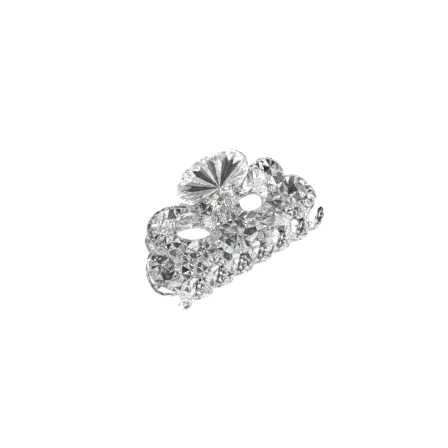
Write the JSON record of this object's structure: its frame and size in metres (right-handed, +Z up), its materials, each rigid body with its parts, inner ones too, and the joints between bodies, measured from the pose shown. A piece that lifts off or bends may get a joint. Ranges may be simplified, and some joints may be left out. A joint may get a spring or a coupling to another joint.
{
  "type": "hair claw clip",
  "caption": "Clear faceted claw clip for hair: sprung interleaving tooth rows, oval cut-outs and wide oval levers, lying closed.",
  "frame": {"origin": "centre of the clip's outline on the surface that it lies on", "axes": "+X along the hinge, +Y from the teeth towards the levers, +Z up from the surface; the clip lies on its lower lever's crown and its upper half's tooth tips"},
  "size_m": [0.091, 0.0554, 0.0438],
  "materials": {
    "clear_acrylic": "clear, cut with flat facets",
    "polished_steel": "polished"
  },
  "bodies": {
    "lower_jaw": {"lower_half": "clear_acrylic", "hinge_pin": "polished_steel", "spring_coil": "polished_steel"},
    "upper_jaw": {"upper_half": "clear_acrylic", "spring_arm": "polished_steel"}
  },
  "joints": [
    {"name": "jaw_hinge", "type": "hinge", "parent": "lower_jaw", "child": "upper_jaw", "pos_m": [0, 0.00902, 0.02013], "axis": [-1, 0, 0], "range_deg": [0, 90], "stiffness_Nm_per_rad": 0.15, "springref_deg": -69.9}
  ]
}
